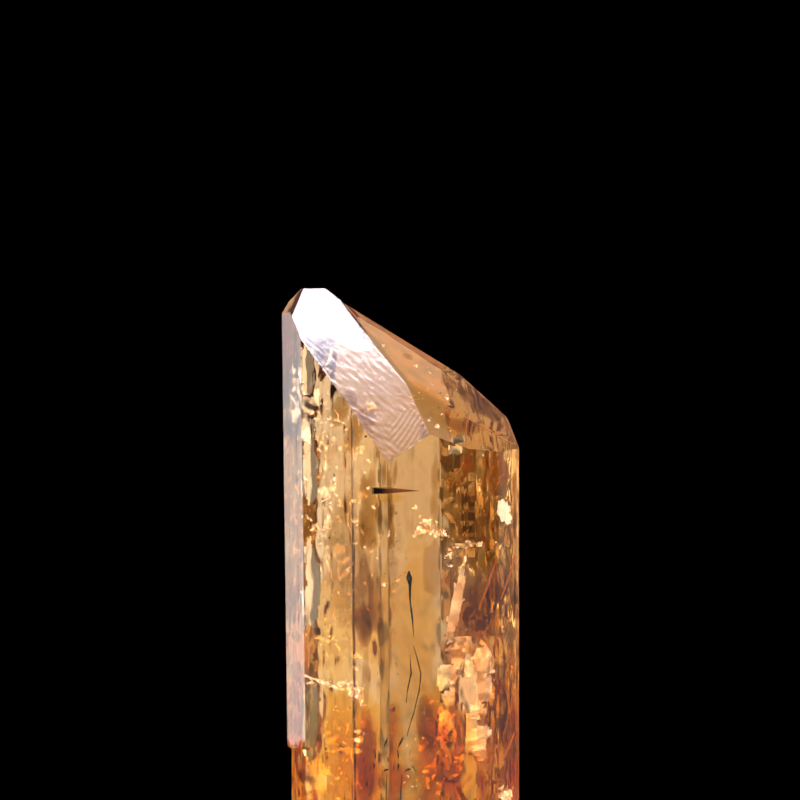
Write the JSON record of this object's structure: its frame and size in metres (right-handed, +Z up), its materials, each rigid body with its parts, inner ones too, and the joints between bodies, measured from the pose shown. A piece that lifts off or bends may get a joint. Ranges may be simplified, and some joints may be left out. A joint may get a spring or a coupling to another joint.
{
  "type": "topaz crystal",
  "caption": "Clear golden-orange terminated prism of gem topaz, striated along its length, standing upright on its flat cleaved base.",
  "frame": {"origin": "centre of the crystal's box in plan, on the plane of its flat basal cleavage", "axes": "+Z up along the prism (the crystal's c axis), -Y towards the front with the long bright termination face, +X to the right seen from the front"},
  "size_m": [0.0118, 0.0082, 0.031],
  "materials": {
    "topaz": "clear, naturally glossy, finely striated"
  },
  "bodies": {
    "root": {"crystal": "topaz"}
  },
  "joints": []
}
